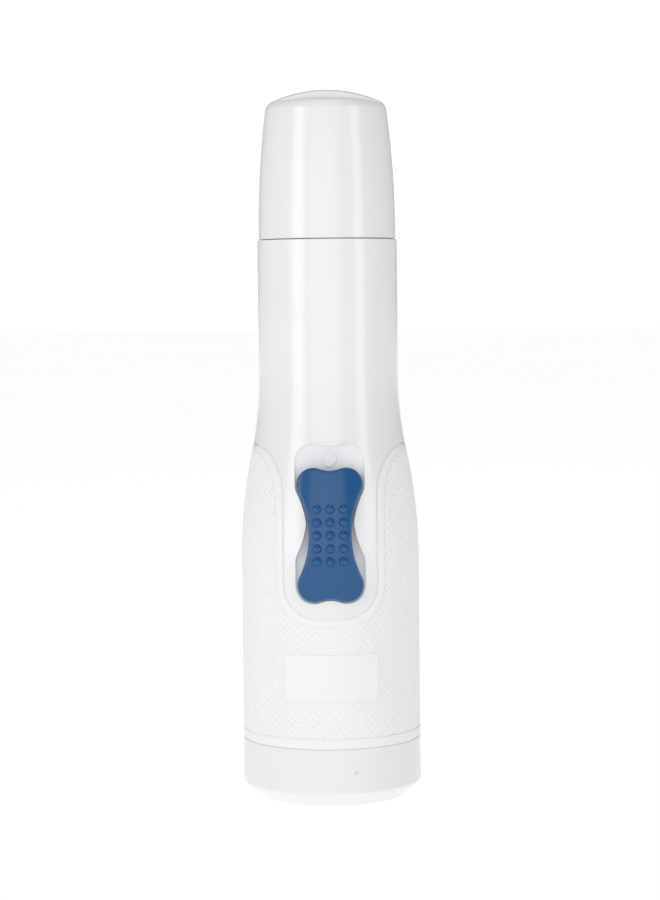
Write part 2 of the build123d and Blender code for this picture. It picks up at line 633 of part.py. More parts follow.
with BuildPart() as armature_core:
    with BuildSketch(Plane.XY.offset(STACK_LOW)):
        Circle(ARMATURE_RADIUS)
        Circle(SHOE_IN, mode=Mode.SUBTRACT)
        with PolarLocations(0, POLES, start_angle=60):
            with Locations((ARMATURE_RADIUS, 0)):
                Rectangle(ARMATURE_RADIUS, 1.8, mode=Mode.SUBTRACT)
        Circle(POLE_ARM)
        with PolarLocations(0, POLES):
            with Locations((SHOE_IN / 2 + 0.4, 0)):
                Rectangle(SHOE_IN, POLE_ARM)
        Circle(SHAFT_RADIUS, mode=Mode.SUBTRACT)
    extrude(amount=STACK_HIGH - STACK_LOW)

with BuildPart() as armature_windings:
    coil_in, coil_out = POLE_ARM + 0.3, SHOE_IN - 0.7
    stack = STACK_HIGH - STACK_LOW
    with PolarLocations(0, POLES):
        with Locations(((coil_in + coil_out) / 2, 0, (STACK_LOW + STACK_HIGH) / 2)):
            Box(coil_out - coil_in, POLE_ARM + 3.0, stack + 2 * COIL_REACH)
            Box(coil_out - coil_in, POLE_ARM, stack, mode=Mode.SUBTRACT)

with BuildPart() as commutator:
    ring(SHAFT_RADIUS, COMMUTATOR_RADIUS, COMMUTATOR_LOW, STACK_LOW - COIL_REACH - 0.2)
    with PolarLocations(COMMUTATOR_RADIUS, POLES, start_angle=60):
        with Locations((0, 0, COMMUTATOR_LOW + 1.5)):
            Box(0.6, 0.3, 3.0, mode=Mode.SUBTRACT)

with BuildPart() as motor_shaft:
    ring(0, SHAFT_RADIUS, MOTOR_BOTTOM - 0.7, DRUM_TOP + 0.5)
    chamfer(edges().filter_by(GeomType.CIRCLE), 0.2)

# ---------------------------------------------------------------- nose collar, drum and guard

SPIGOT_LENGTH = 5.6
NOSE_RADIUS = 16.1
NOSE_BORE = 14.3
KEY_HALF = 1.0
KEY_OUT = 16.6
SEAL_POCKET = 3.4

with BuildPart() as nose_collar:
    ring(0, NOSE_RADIUS, FLANGE_BOTTOM, NECK_TOP)
    ring(NOSE_BORE, FLANGE_RADIUS, FLANGE_BOTTOM, FLANGE_TOP)
    ring(NOSE_BORE, NOSE_RADIUS, NECK_TOP, GUARD_BOTTOM + SPIGOT_LENGTH)
    chamfer(edges().filter_by(GeomType.CIRCLE).group_by(Axis.Z)[-1], 0.4)
    block((-KEY_HALF, -KEY_OUT, GUARD_BOTTOM), (KEY_HALF, -NOSE_BORE - 0.5, GUARD_BOTTOM + 4.6))
    ring(0, 1.6, FLANGE_BOTTOM, NECK_TOP, Mode.SUBTRACT)
    ring(0, SEAL_POCKET, FLANGE_BOTTOM + 0.8, NECK_TOP, Mode.SUBTRACT)

with BuildPart() as shaft_seal:
    ring(SHAFT_RADIUS + 0.08, SEAL_POCKET, FLANGE_BOTTOM + 0.8, NECK_TOP + 0.6)

BAND_WALL = 1.2
HUB_RADIUS = DRUM_RADIUS - BAND_WALL
BAND_MARGIN = 1.0  # hub showing above and below the band
INSERT_RADIUS = 2.4

with BuildPart() as drum_hub:
    with BuildSketch(Plane.XY.offset(DRUM_BOTTOM)):
        Circle(HUB_RADIUS)
        Circle(HUB_RADIUS - 1.6, mode=Mode.SUBTRACT)
        Circle(INSERT_RADIUS + 1.6)
        with PolarLocations(0, 6):
            with Locations((HUB_RADIUS / 2, 0)):
                Rectangle(HUB_RADIUS - 1.0, 1.2)
        Circle(INSERT_RADIUS, mode=Mode.SUBTRACT)
    extrude(amount=DRUM_TOP - DRUM_BOTTOM)
    ring(INSERT_RADIUS, HUB_RADIUS, DRUM_TOP - 1.2, DRUM_TOP)
    ring(HUB_RADIUS, DRUM_RADIUS - 0.4, DRUM_BOTTOM, DRUM_BOTTOM + BAND_MARGIN)

with BuildPart() as hub_insert:
    ring(SHAFT_RADIUS, INSERT_RADIUS, DRUM_BOTTOM - 0.3, DRUM_TOP)

with BuildPart() as sanding_band:
    ring(HUB_RADIUS, DRUM_RADIUS, DRUM_BOTTOM + BAND_MARGIN, DRUM_TOP - BAND_MARGIN)

GUARD_WIDEST = 18.36
GUARD_WIDEST_Z = 152.0
GUARD_WALL_RADIUS = 258.0  # the side wall's arc, seen from the side
BEVEL_LOW = 184.6
BEVEL_HIGH = 187.1
BEVEL_RADIUS = 14.1  # outside radius where the bevel meets the dome
INNER_DOME_RADIUS = 12.4
INNER_DOME_LOW = 185.9
INNER_TOP = 188.2
WINDOW_HALF = 5.5
WINDOW_LOW = 157.0
WINDOW_HIGH = 171.0


def guard_radius(z):
    """Outside radius of the guard's side wall at a height."""
    drop = GUARD_WALL_RADIUS - sqrt(GUARD_WALL_RADIUS**2 - (z - GUARD_WIDEST_Z) ** 2)
    return GUARD_WIDEST - drop


def draw_dome(radius, low, top):
    """Arc from a dome's rim up to its crown, level where it meets the axis."""
    dome = (radius**2 + (top - low) ** 2) / (2 * (top - low))
    halfway = top - dome + sqrt(dome**2 - (radius / 2) ** 2)
    ThreePointArc((radius, low), (radius / 2, halfway), (0, top))


def on_window_rim(edge):
    """Whether an edge lies where the nail window meets the guard's outside."""
    place = edge.center()
    wall = guard_radius(place.Z)
    return WINDOW_LOW <= place.Z <= WINDOW_HIGH and hypot(place.X, place.Y) > wall - 0.8 and place.Y > 0


with BuildPart() as guard_cap:
    bevel_radius = guard_radius(BEVEL_LOW)
    wall_middle = (GUARD_BOTTOM + BEVEL_LOW) / 2
    with BuildSketch(Plane.XZ):
        with BuildLine():
            Line((0, GUARD_BOTTOM), (guard_radius(GUARD_BOTTOM), GUARD_BOTTOM))
            ThreePointArc(
                (guard_radius(GUARD_BOTTOM), GUARD_BOTTOM),
                (guard_radius(wall_middle), wall_middle),
                (bevel_radius, BEVEL_LOW),
            )
            ThreePointArc((bevel_radius, BEVEL_LOW), (15.5, 186.15), (BEVEL_RADIUS, BEVEL_HIGH))
            draw_dome(BEVEL_RADIUS, BEVEL_HIGH, TOTAL_HEIGHT)
            Line((0, TOTAL_HEIGHT), (0, GUARD_BOTTOM))
        make_face()
    revolve(axis=Axis.Z)
    with BuildSketch(Plane.XZ):
        with BuildLine():
            Line((0, GUARD_BOTTOM), (NOSE_RADIUS + 0.15, GUARD_BOTTOM))
            Line((NOSE_RADIUS + 0.15, GUARD_BOTTOM), (NOSE_RADIUS + 0.15, 157.0))
            Line((NOSE_RADIUS + 0.15, 157.0), (14.6, 183.6))
            ThreePointArc((14.6, 183.6), (13.8, 185.2), (INNER_DOME_RADIUS, INNER_DOME_LOW))
            draw_dome(INNER_DOME_RADIUS, INNER_DOME_LOW, INNER_TOP)
            Line((0, INNER_TOP), (0, GUARD_BOTTOM))
        make_face()
    revolve(axis=Axis.Z, mode=Mode.SUBTRACT)
    block((-KEY_HALF - 0.15, -KEY_OUT - 0.15, GUARD_BOTTOM), (KEY_HALF + 0.15, 0, 157.0), Mode.SUBTRACT)
    with BuildSketch(Plane.XZ) as window:
        with Locations((0, (WINDOW_LOW + WINDOW_HIGH) / 2)):
            RectangleRounded(2 * WINDOW_HALF, WINDOW_HIGH - WINDOW_LOW, 3.0)
    extrude(window.sketch, -FAR, mode=Mode.SUBTRACT)
    fillet(edges().filter_by(on_window_rim), 0.5)
    fillet(edges().filter_by(GeomType.CIRCLE).group_by(Axis.Z)[0].sort_by(SortBy.RADIUS)[-1], 0.15)

# ---------------------------------------------------------------- wires

WIRE_RADIUS = 0.6
WIRE_START = 99.0
WIRE_TURN = 110.6  # height of the wires' run in to the motor's terminals


def wire(x, side):
    """Insulated wire up a strip on the battery tube, then in to a motor terminal."""
    out = side * (sqrt(STRIP_OUT**2 - x**2) + WIRE_RADIUS + 0.02)
    end = side * (TERMINAL_Y + STRIP / 2)
    with BuildLine() as path:
        FilletPolyline((x, out, WIRE_START), (x, out, WIRE_TURN), (x, end, WIRE_TURN), radius=1.5)
    with BuildSketch(Plane(origin=(x, out, WIRE_START), z_dir=(0, 0, 1))) as section:
        Circle(WIRE_RADIUS)
    sweep(section.sketch, path.line)


with BuildPart() as red_wire:
    wire(WIPER_OUT - BRIDGE_ARM / 2, -1)

with BuildPart() as black_wire:
    wire(0, 1)

# ---------------------------------------------------------------- one STEP file for each sub-part

SUB_PARTS = {
    "front_shell": front_shell,
    "rear_shell": rear_shell,
    "grip_sleeve": grip_sleeve,
    "housing_screws": housing_screws,
    "neck_screws": neck_screws,
    "switch_button": switch_button,
    "slider_plate": slider_plate,
    "slider_screw": slider_screw,
    "switch_bridge": switch_bridge,
    "battery_lower": battery_lower,
    "battery_upper": battery_upper,
    "battery_tube": battery_tube,
    "positive_contact": positive_contact,
    "battery_strip": battery_strip,
    "motor_strip": motor_strip,
    "ground_strip": ground_strip,
    "base_cap": base_cap,
    "base_seal": base_seal,
    "base_contact": base_contact,
    "negative_spring": negative_spring,
    "motor_can": motor_can,
    "motor_end_bell": motor_end_bell,
    "front_bush": front_bush,
    "rear_bush": rear_bush,
    "motor_magnets": motor_magnets,
    "motor_brushes": motor_brushes,
    "motor_terminals": motor_terminals,
    "suppressor_capacitor": suppressor_capacitor,
    "motor_dampers": motor_dampers,
    "armature_core": armature_core,
    "armature_windings": armature_windings,
    "commutator": commutator,
    "motor_shaft": motor_shaft,
    "nose_collar": nose_collar,
    "shaft_seal": shaft_seal,
    "drum_hub": drum_hub,
    "hub_insert": hub_insert,
    "sanding_band": sanding_band,
    "guard_cap": guard_cap,
    "red_wire": red_wire,
    "black_wire": black_wire,
}

for sub_part_name, sub_part in SUB_PARTS.items():
    save(sub_part, sub_part_name)
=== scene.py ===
"""Cordless pet-nail grinder: white moulded body, knurled grip, blue bone-shaped thumb switch.

Everything is in metres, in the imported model's own frame: +Z up the tool's axis, the switch
faces -Y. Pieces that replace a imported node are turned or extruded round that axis.
"""

import json
from math import asin, atan, cos, hypot, pi, radians, sin, sqrt

import bpy
from mathutils import Matrix, Vector


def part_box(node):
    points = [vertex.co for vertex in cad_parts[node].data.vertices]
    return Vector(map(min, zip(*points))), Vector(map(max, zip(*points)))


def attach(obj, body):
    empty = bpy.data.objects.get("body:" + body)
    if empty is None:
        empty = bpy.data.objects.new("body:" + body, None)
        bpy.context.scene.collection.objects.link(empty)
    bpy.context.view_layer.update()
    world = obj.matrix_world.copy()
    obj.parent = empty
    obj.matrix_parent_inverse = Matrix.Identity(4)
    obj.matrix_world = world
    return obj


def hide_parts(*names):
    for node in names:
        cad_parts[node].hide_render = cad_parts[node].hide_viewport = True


MM = 0.001

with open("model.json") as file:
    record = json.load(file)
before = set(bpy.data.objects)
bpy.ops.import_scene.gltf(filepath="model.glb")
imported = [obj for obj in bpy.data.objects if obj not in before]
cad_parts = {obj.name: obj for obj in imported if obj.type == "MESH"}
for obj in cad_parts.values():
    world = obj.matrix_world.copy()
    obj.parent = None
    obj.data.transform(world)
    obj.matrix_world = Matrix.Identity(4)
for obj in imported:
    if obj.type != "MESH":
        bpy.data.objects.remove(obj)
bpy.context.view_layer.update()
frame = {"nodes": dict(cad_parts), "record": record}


def top_of(node):
    """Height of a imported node's upper end."""
    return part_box(node)[1].z


def foot_of(node):
    """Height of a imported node's lower end."""
    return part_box(node)[0].z


def radius_of(node):
    """Half of a packed round node's width."""
    return (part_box(node)[1].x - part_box(node)[0].x) / 2


# ---------------------------------------------------------------- the body's outline

GRIP_RADIUS = radius_of("grip_sleeve")
MOUNTS = {mount["name"]: mount for mount in frame["record"]["mounts"]}
NECK_RADIUS = MOUNTS["neck"]["dims"]["r_mm"] * MM
FLARE_LOW = 64.5 * MM  # the grip is a cylinder below this height
FLARE_HIGH = 114 * MM  # the neck is a cylinder above this height
HOLLOW_RADIUS = 100 * MM  # the flare's upper arc, seen from the side
FLARE_SLOPE = 2 * atan((GRIP_RADIUS - NECK_RADIUS) / (FLARE_HIGH - FLARE_LOW))
ROUND_RADIUS = (FLARE_HIGH - FLARE_LOW) / sin(FLARE_SLOPE) - HOLLOW_RADIUS
FLARE_TURN = FLARE_HIGH - HOLLOW_RADIUS * sin(FLARE_SLOPE)

SLEEVE_DROP = 0.14 * MM  # closes the gap over the base cap to a hairline
SLEEVE_FOOT = foot_of("grip_sleeve") - SLEEVE_DROP
NECK_FOOT = 95.6 * MM  # where the grip ends and the full-width neck begins
NECK_TOP = top_of("front_shell")
SEAM = 0.3 * MM  # line between the sleeve and the tongue
TURNS = 160  # facets round the tool
WELD = 0.001 * MM  # points closer than this are one point


def skin(z, inset=0.0):
    """Radius of the body's skin at a height, moved inwards by inset."""
    if z >= FLARE_HIGH:
        radius = NECK_RADIUS
    elif z >= FLARE_TURN:
        radius = NECK_RADIUS + HOLLOW_RADIUS - sqrt(HOLLOW_RADIUS**2 - (FLARE_HIGH - z) ** 2)
    elif z >= FLARE_LOW:
        radius = GRIP_RADIUS - ROUND_RADIUS + sqrt(ROUND_RADIUS**2 - (z - FLARE_LOW) ** 2)
    else:
        radius = GRIP_RADIUS
    return radius - inset


def skin_line(low, high, inset, steps=24):
    """Points of the inset skin between two heights, from low to high."""
    heights = [low + (high - low) * step / steps for step in range(steps + 1)]
    return [(skin(z, inset), z) for z in heights]


def arc(centre, radius, start, end, steps):
    """Points of an arc in the outline's plane, between two angles in degrees."""
    angles = [radians(start + (end - start) * step / steps) for step in range(steps + 1)]
    return [(centre[0] + radius * cos(a), centre[1] + radius * sin(a)) for a in angles]


# ---------------------------------------------------------------- modelling by hand


def clear():
    """Leaves edit mode and deselects everything."""
    if bpy.context.object and bpy.context.object.mode != "OBJECT":
        bpy.ops.object.mode_set(mode="OBJECT")
    bpy.ops.object.select_all(action="DESELECT")


def pick(piece):
    """Makes a piece the only selected and active one."""
    clear()
    piece.select_set(True)
    bpy.context.view_layer.objects.active = piece


def named(name):
    """Names the primitive that was just added, and puts its place into its mesh."""
    piece = bpy.context.object
    piece.name = piece.data.name = name
    bpy.ops.object.transform_apply(location=True, rotation=True, scale=True)
    return piece


def stretched(piece, factors):
    """Stretches the piece that was just added about the origin, in its mesh."""
    piece.scale = factors
    bpy.ops.object.transform_apply(location=False, rotation=False, scale=True)
    return piece


def edit(piece, mode="EDGE"):
    """Enters edit mode with everything selected."""
    pick(piece)
    bpy.ops.object.mode_set(mode="EDIT")
    bpy.ops.mesh.select_mode(type=mode)
    bpy.ops.mesh.select_all(action="SELECT")


def choose(piece, mode, test):
    """In edit mode, selects only the edges or faces whose points pass a test."""
    bpy.ops.mesh.select_mode(type=mode)
    bpy.ops.mesh.select_all(action="DESELECT")
    bpy.ops.object.mode_set(mode="OBJECT")
    parts = piece.data.edges if mode == "EDGE" else piece.data.polygons
    points = piece.data.vertices
    parts.foreach_set("select", [test(*(points[i].co for i in part.vertices)) for part in parts])
    bpy.ops.object.mode_set(mode="EDIT")


def apply(piece, kind, **settings):
    """Adds a modifier with its settings and applies it."""
    pick(piece)
    modifier = piece.modifiers.new(kind.title(), kind)
    for key, value in settings.items():
        setattr(modifier, key, value)
    bpy.ops.object.modifier_apply(modifier=modifier.name)
    return piece


def shaded(piece, angle=35):
    """Smooth shading that keeps edges sharper than an angle."""
    pick(piece)
    bpy.ops.object.shade_smooth_by_angle(angle=radians(angle))
    return piece


def start_at(name, point):
    """One vertex at a point, left in edit mode, ready to be extruded along an outline."""
    clear()
    bpy.ops.mesh.primitive_plane_add(size=1 * MM, location=point)
    piece = named(name)
    edit(piece, "VERT")
    bpy.ops.mesh.merge(type="CENTER")
    return piece


def drawn(name, points, close=False):
    """A line of edges extruded from point to point, left in edit mode with the line selected."""
    piece = start_at(name, points[0])
    for here, there in zip(points, points[1:]):
        step = Vector(there) - Vector(here)
        bpy.ops.mesh.extrude_region_move(TRANSFORM_OT_translate={"value": step})
    bpy.ops.mesh.select_all(action="SELECT")
    if close:
        bpy.ops.mesh.edge_face_add()
    return piece


def turned(name, outline, steps=TURNS):
    """Closed solid turned about the tool's axis from (radius, height) points, first to last."""
    piece = drawn(name, [(0, -r, z) for r, z in outline + outline[:1]])
    bpy.ops.mesh.spin(steps=steps, angle=2 * pi, center=(0, 0, 0), axis=(0, 0, 1))
    bpy.ops.mesh.select_all(action="SELECT")
    bpy.ops.mesh.remove_doubles(threshold=WELD)
    bpy.ops.mesh.normals_make_consistent(inside=False)
    bpy.ops.object.mode_set(mode="OBJECT")
    return piece


def prism(name, points, way):
    """Closed prism of an outline's points, extruded by a vector."""
    piece = drawn(name, points, close=True)
    bpy.ops.mesh.select_all(action="SELECT")
    bpy.ops.mesh.extrude_region_move(TRANSFORM_OT_translate={"value": way})
    bpy.ops.mesh.select_all(action="SELECT")
    bpy.ops.mesh.normals_make_consistent(inside=False)
    bpy.ops.object.mode_set(mode="OBJECT")
    return piece


def boolean(piece, tool, operation="DIFFERENCE"):
    """Cuts or intersects a piece with a tool, which is then thrown away."""
    apply(piece, "BOOLEAN", operation=operation, object=tool, solver="MANIFOLD")
    bpy.data.objects.remove(tool)
    return piece


# ---------------------------------------------------------------- outlines seen from the front

TONGUE_HALF = 12.3 * MM
TONGUE_FOOT = 50.3 * MM
TONGUE_CORNER = 9 * MM
SWEEP_WIDTH = 8 * MM  # half axes of the elliptical sweep out to the sides
SWEEP_HEIGHT = 13 * MM
CORNER_STEPS = 16
SWEEP_STEPS = 24
FAR = 40 * MM  # reaches past every surface of the tool


def tongue_line(grow):
    """Outline of the smooth tongue and the neck above it, grown all round, in the plane y = 0."""
    half, corner = TONGUE_HALF + grow, TONGUE_CORNER + grow
    foot, top = TONGUE_FOOT - grow, NECK_FOOT - grow
    wide = SWEEP_WIDTH - grow
    right = arc((half - corner, foot + corner), corner, -90, 0, CORNER_STEPS)
    for step in range(SWEEP_STEPS + 1):
        turn = pi - step * pi / (2 * SWEEP_STEPS)
        right.append((half + wide + wide * cos(turn), top - SWEEP_HEIGHT + SWEEP_HEIGHT * sin(turn)))
    right += [(FAR, top), (FAR, NECK_TOP + FAR)]
    left = [(-x, z) for x, z in reversed(right)]
    return [(x, 0, z) for x, z in right + left]


def round_box(half_width, low, high, corner, steps=6):
    """Outline of an upright rectangle with round corners about x = 0, in the plane y = 0."""
    points = []
    for x, z, start in ((1, -1, -90), (1, 1, 0), (-1, 1, 90), (-1, -1, 180)):
        centre = (x * (half_width - corner), (high - corner) if z > 0 else (low + corner))
        points += arc(centre, corner, start, start + 90, steps)
    return [(x, 0, z) for x, z in points]


# ---------------------------------------------------------------- grip sleeve and its knurl

SLEEVE_WALL = 1.5 * MM
SLEEVE_TOP = NECK_FOOT - SEAM
FOOT_BEVEL = 0.15 * MM
TOP_BEVEL = 0.2 * MM
FIELD_DEPTH = 0.2 * MM  # how far the knurled field is let into the smooth sleeve
FIELD_FOOT = SLEEVE_FOOT + 2.6 * MM
FIELD_TOP = SLEEVE_TOP - 1.3 * MM
BORDER = 1.7 * MM  # smooth edge left round the tongue
FIT = 0.04 * MM  # gap between the knurl and its pocket
SEAM_DEPTH = 0.12 * MM  # below it the sleeve reaches right up to the tongue
PANEL_HALF = 12.5 * MM
PANEL_FOOT = 28.5 * MM
PANEL_TOP = 40.9 * MM
PANEL_CORNER = 1.2 * MM
CLEAR = 1 * MM  # how far a cutting ring stands out past the skin
KNURL_PITCH = 2.0 * MM
KNURL_RISE = 0.15 * MM
KNURL_GROOVE = 0.28 * MM  # half of a groove, across
KNURL_SINK = 0.03 * MM  # the diamonds' tops lie this far under the smooth skin
KNURL_BACK = 0.985  # the thin tube's inner radius, as a share of its outer one
KNURL_SHARP = 12  # degrees; a diamond's edges stay sharp
UPRIGHT = 0.9  # an edge that climbs more rows than this is an upright one
LEVEL = 0.1  # and one that climbs fewer than this is level


def cut_from_front(piece, line):
    """Cuts the front half of a piece along an outline seen from the front."""
    return boolean(piece, prism("cutter", line, (0, -FAR, 0)))


def skin_ring(name, low, high, depth):
    """Ring that follows the skin between two heights, from a depth under it to clear of it."""
    return turned(name, skin_line(low, high, depth) + skin_line(low, high, -CLEAR)[::-1])


def grip_sleeve():
    """Smooth sleeve with the tongue's cut-out and a shallow pocket for the knurl."""
    outside = [(skin(SLEEVE_FOOT, FOOT_BEVEL), SLEEVE_FOOT), (skin(SLEEVE_FOOT), SLEEVE_FOOT + FOOT_BEVEL)]
    outside += skin_line(FIELD_FOOT, FIELD_TOP, 0) + [(skin(SLEEVE_TOP), SLEEVE_TOP - TOP_BEVEL)]
    outside += [(skin(SLEEVE_TOP, TOP_BEVEL), SLEEVE_TOP)]
    inside = skin_line(SLEEVE_FOOT, SLEEVE_TOP, SLEEVE_WALL)[::-1]
    sleeve = turned("grip_shell", outside + inside)
    pocket = skin_ring("pocket", FIELD_FOOT, FIELD_TOP, FIELD_DEPTH)
    cut_from_front(pocket, tongue_line(SEAM + BORDER))
    cut_from_front(pocket, round_box(PANEL_HALF, PANEL_FOOT, PANEL_TOP, PANEL_CORNER))
    boolean(sleeve, pocket)
    groove = skin_ring("groove", TONGUE_FOOT - 5 * CLEAR, SLEEVE_TOP + CLEAR, SEAM_DEPTH)
    boolean(groove, prism("tongue", tongue_line(SEAM), (0, -FAR, 0)), "INTERSECT")
    boolean(sleeve, groove)
    cut_from_front(sleeve, tongue_line(FIT))
    return shaded(sleeve)


def slope(here, there, row):
    """Height between an edge's two ends, in rows."""
    return abs(here.z - there.z) / row


def lattice(foot, top):
    """Tube of staggered diamonds, open at both ends, left in edit mode.

    Each square of a tube is poked into four triangles; without the squares' own edges, inside
    the tube's two rims, the triangles of neighbours join up into diamonds.
    """
    columns = round(2 * pi * GRIP_RADIUS / KNURL_PITCH)
    rows = round((top - foot) / KNURL_PITCH)
    row = (top - foot) / rows
    clear()
    bpy.ops.mesh.primitive_cylinder_add(vertices=columns, radius=GRIP_RADIUS, depth=top - foot,
                                        end_fill_type="NOTHING", location=(0, 0, (foot + top) / 2))
    tube = named("grip_knurl")
    edit(tube)
    choose(tube, "EDGE", lambda here, there: slope(here, there, row) > 1)
    bpy.ops.mesh.subdivide(number_cuts=rows - 1)
    bpy.ops.mesh.select_all(action="SELECT")
    bpy.ops.mesh.poke()
    choose(tube, "EDGE", lambda here, there: slope(here, there, row) > UPRIGHT
           or (slope(here, there, row) < LEVEL and foot + row / 2 < here.z < top - row / 2))
    bpy.ops.mesh.dissolve_edges(use_verts=False)
    return tube


def drawn_to_skin(piece, inset):
    """Moves every point of a tube in edit mode straight out or in to the inset skin."""
    bpy.ops.object.mode_set(mode="OBJECT")
    for vertex in piece.data.vertices:
        scale = skin(vertex.co.z, inset) / hypot(vertex.co.x, vertex.co.y)
        vertex.co.x *= scale
        vertex.co.y *= scale
    bpy.ops.object.mode_set(mode="EDIT")


def grip_knurl():
    """Raised diamonds with flat tops on a thin tube, cut to the pocket's outline."""
    foot, top = FIELD_FOOT + FIT, FIELD_TOP - FIT
    knurl = lattice(foot, top)
    drawn_to_skin(knurl, KNURL_RISE + KNURL_SINK)
    bpy.ops.mesh.select_mode(type="FACE")
    bpy.ops.mesh.select_all(action="SELECT")
    bpy.ops.mesh.normals_make_consistent(inside=False)
    bpy.ops.mesh.inset(use_individual=True, thickness=KNURL_GROOVE, depth=KNURL_RISE)
    bpy.ops.mesh.select_mode(type="EDGE")
    bpy.ops.mesh.select_all(action="DESELECT")
    bpy.ops.mesh.select_non_manifold()
    bpy.ops.mesh.extrude_region_move()
    bpy.ops.transform.resize(value=(KNURL_BACK, KNURL_BACK, 1))
    bpy.ops.mesh.bridge_edge_loops()
    bpy.ops.mesh.select_all(action="SELECT")
    bpy.ops.mesh.normals_make_consistent(inside=False)
    bpy.ops.object.mode_set(mode="OBJECT")
    cut_from_front(knurl, tongue_line(SEAM + BORDER + FIT))
    cut_from_front(knurl, round_box(PANEL_HALF + FIT, PANEL_FOOT - FIT, PANEL_TOP + FIT, PANEL_CORNER))
    return shaded(knurl, KNURL_SHARP)


# ---------------------------------------------------------------- marks in the switch's recess

SWITCH_HEIGHT = 72.5 * MM
SWITCH_LEAN = asin(0.087918)  # the switch's plane leans back with the flare
SWITCH_REACH = 22.40 * MM
RECESS_DEPTH = 1.8 * MM
MARK_RISE = 0.25 * MM
OFF_MARK_AT = 20.1 * MM  # along the slide's way, from the switch's middle
OFF_MARK_RADIUS = 1.8 * MM
OFF_MARK_LINE = 0.3 * MM  # half of the ring's line, across
OFF_MARK_STRETCH = 1.12  # the ring is a little taller than wide
ON_MARK_AT = -14.9 * MM
ON_MARK_WIDTH = 0.7 * MM
ON_MARK_LENGTH = 3.6 * MM
ON_MARK_ROUND = 0.17 * MM


def laid_in_recess(piece, along):
    """Sinks a mark modelled about the origin, facing up, to its middle in the recess's floor."""
    way = Vector((0, sin(SWITCH_LEAN), cos(SWITCH_LEAN)))
    outward = Vector((0, -cos(SWITCH_LEAN), sin(SWITCH_LEAN)))
    floor = Vector((0, -SWITCH_REACH, SWITCH_HEIGHT)) - outward * RECESS_DEPTH
    pick(piece)
    piece.location = floor + way * along
    piece.rotation_euler = (pi / 2 - SWITCH_LEAN, 0, 0)
    bpy.ops.object.transform_apply(location=True, rotation=True, scale=True)
    return shaded(piece, 50)


def off_mark():
    """Raised ring that shows while the switch is down."""
    clear()
    bpy.ops.mesh.primitive_torus_add(major_radius=OFF_MARK_RADIUS, minor_radius=OFF_MARK_LINE,
                                     major_segments=64, minor_segments=16)
    ring = stretched(named("off_mark"), (1, OFF_MARK_STRETCH, MARK_RISE / OFF_MARK_LINE))
    return laid_in_recess(ring, OFF_MARK_AT)


def on_mark():
    """Raised bar that shows while the switch is up."""
    clear()
    bpy.ops.mesh.primitive_cube_add(size=1)
    bar = stretched(named("on_mark"), (ON_MARK_WIDTH, ON_MARK_LENGTH, 2 * MARK_RISE))
    apply(bar, "BEVEL", width=ON_MARK_ROUND, segments=3)
    return laid_in_recess(bar, ON_MARK_AT)


# ---------------------------------------------------------------- sanding band

GRIT_RELIEF = 0.16 * MM
GRIT_SIZE = 0.35 * MM
HUB_FLANGE = 0.8 * MM  # how far the hub's foot stands out past the body under the band
BAND_ROW = 0.22 * MM  # height of the band's faces, fine enough for the grit
BAND_TURNS = 260


def sanding_sleeve():
    """Cloth band covered with grit that stands up from it, open at both ends."""
    low, high = foot_of("sanding_band"), top_of("sanding_band")
    outer, inner = radius_of("sanding_band"), radius_of("drum_hub") - HUB_FLANGE
    rows = round((high - low) / BAND_ROW)
    face = [(outer, low + (high - low) * row / rows) for row in range(rows + 1)]
    band = turned("grit_band", face + [(inner, high), (inner, low)], steps=BAND_TURNS)
    grit = bpy.data.textures.new("grit", "CLOUDS")
    grit.noise_scale = GRIT_SIZE
    grit.noise_depth = 2
    apply(band, "DISPLACE", texture=grit, strength=GRIT_RELIEF, mid_level=1.0, texture_coords="LOCAL")
    return shaded(band, 60)


# ---------------------------------------------------------------- finishes


class Wire:
    """A node's output; arithmetic on it adds Math nodes."""

    def __init__(self, nodes, socket):
        self.nodes = nodes
        self.socket = socket

    def maths(self, operation, *others):
        """A Math node whose first value is this one."""
        return self.nodes.maths(operation, self, *others)

    def __add__(self, other):
        return self.maths("ADD", other)

    def __sub__(self, other):
        return self.maths("SUBTRACT", other)

    def __rsub__(self, other):
        return self.nodes.maths("SUBTRACT", other, self)

    def __mul__(self, other):
        return self.maths("MULTIPLY", other)

    def __gt__(self, other):
        return self.maths("GREATER_THAN", other)

    def __lt__(self, other):
        return self.maths("LESS_THAN", other)

    __radd__ = __add__
    __rmul__ = __mul__


class Nodes:
    """The nodes of a material or of the world."""

    def __init__(self, owner):
        owner.use_nodes = True
        self.tree = owner.node_tree

    def fill(self, made, sockets):
        """Puts values or wires into a node's sockets."""
        for key, value in sockets.items():
            if isinstance(value, Wire):
                self.tree.links.new(value.socket, made.inputs[key])
            else:
                made.inputs[key].default_value = value

    def node(self, kind, settings, sockets, output=0):
        """Adds a node: settings first, then values or wires into its sockets."""
        made = self.tree.nodes.new(kind)
        for key, value in settings.items():
            setattr(made, key, value)
        self.fill(made, sockets)
        return Wire(self, made.outputs[output])

    def maths(self, operation, *values):
        """Adds a Math node."""
        return self.node("ShaderNodeMath", {"operation": operation}, dict(enumerate(values)))


